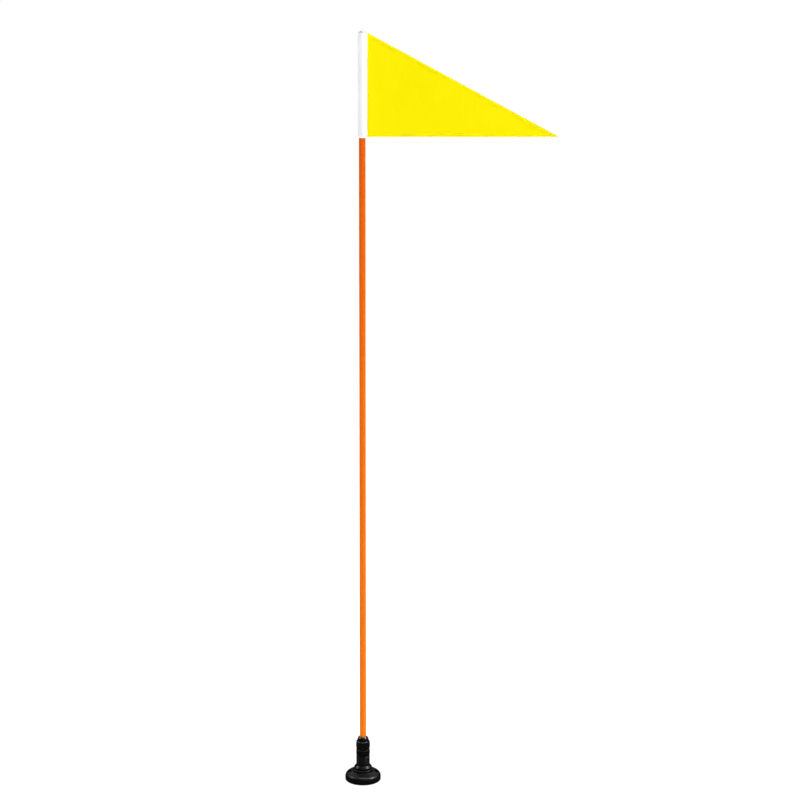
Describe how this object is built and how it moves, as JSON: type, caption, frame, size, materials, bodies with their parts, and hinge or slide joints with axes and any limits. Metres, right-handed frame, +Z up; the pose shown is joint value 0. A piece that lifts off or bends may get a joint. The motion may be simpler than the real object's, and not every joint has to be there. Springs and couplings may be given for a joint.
{
  "type": "golf flagstick",
  "caption": "Slim fibreglass pole with a swivelling triangular pennant, clamped by a hand nut in a round screw-down base.",
  "frame": {"origin": "centre of the foot's underside", "axes": "+Z up along the pole, +X the way the pennant flies, -Y towards the viewer of its face"},
  "size_m": [0.4128, 0.0728, 1.524],
  "materials": {
    "black_nylon": "gloss",
    "pad_rubber": "matte",
    "screw_steel": "satin",
    "natural_acetal": "satin",
    "orange_fibreglass": "gloss",
    "ferrule_aluminium": "satin",
    "tip_plastic": "satin",
    "white_plastic": "satin",
    "white_cloth": "matte",
    "yellow_cloth": "matte",
    "yellow_thread": "matte"
  },
  "bodies": {
    "base": {"base_flange": "black_nylon", "base_pad": "pad_rubber", "stem_screws": "screw_steel", "socket_stem": "black_nylon", "socket_buffer": "pad_rubber", "collet": "natural_acetal"},
    "slip_ring": {"thrust_ring": "natural_acetal"},
    "nut": {"collet_nut": "black_nylon", "pole_wiper": "pad_rubber"},
    "pole": {"pole": "orange_fibreglass", "pole_foot_plug": "pad_rubber", "flag_stop_ring": "natural_acetal", "tip_ferrule": "ferrule_aluminium", "tip_washer": "natural_acetal", "tip_knob": "tip_plastic"},
    "flag": {"flag_tube": "white_plastic", "flag_sleeve": "white_cloth", "pennant": "yellow_cloth", "hoist_stitching": "yellow_thread", "hem_stitching": "yellow_thread"}
  },
  "joints": [
    {"name": "nut_lift", "type": "slide", "parent": "base", "child": "slip_ring", "axis": [0, 0, 1], "range_m": [0, 0.0045]},
    {"name": "nut_turn", "type": "hinge", "parent": "slip_ring", "child": "nut", "pos_m": [0, 0, 0.0669], "axis": [0, 0, 1], "range_deg": [0, 540]},
    {"name": "pole_lift", "type": "slide", "parent": "base", "child": "pole", "axis": [0, 0, 1], "range_m": [0, 0.075]},
    {"name": "flag_swivel", "type": "hinge", "parent": "pole", "child": "flag", "pos_m": [0, 0, 1.33], "axis": [0, 0, 1], "continuous": true}
  ],
  "couplings": [
    {"joint": "nut_turn", "follows": "nut_lift", "rad_per_m": 2094.4}
  ]
}
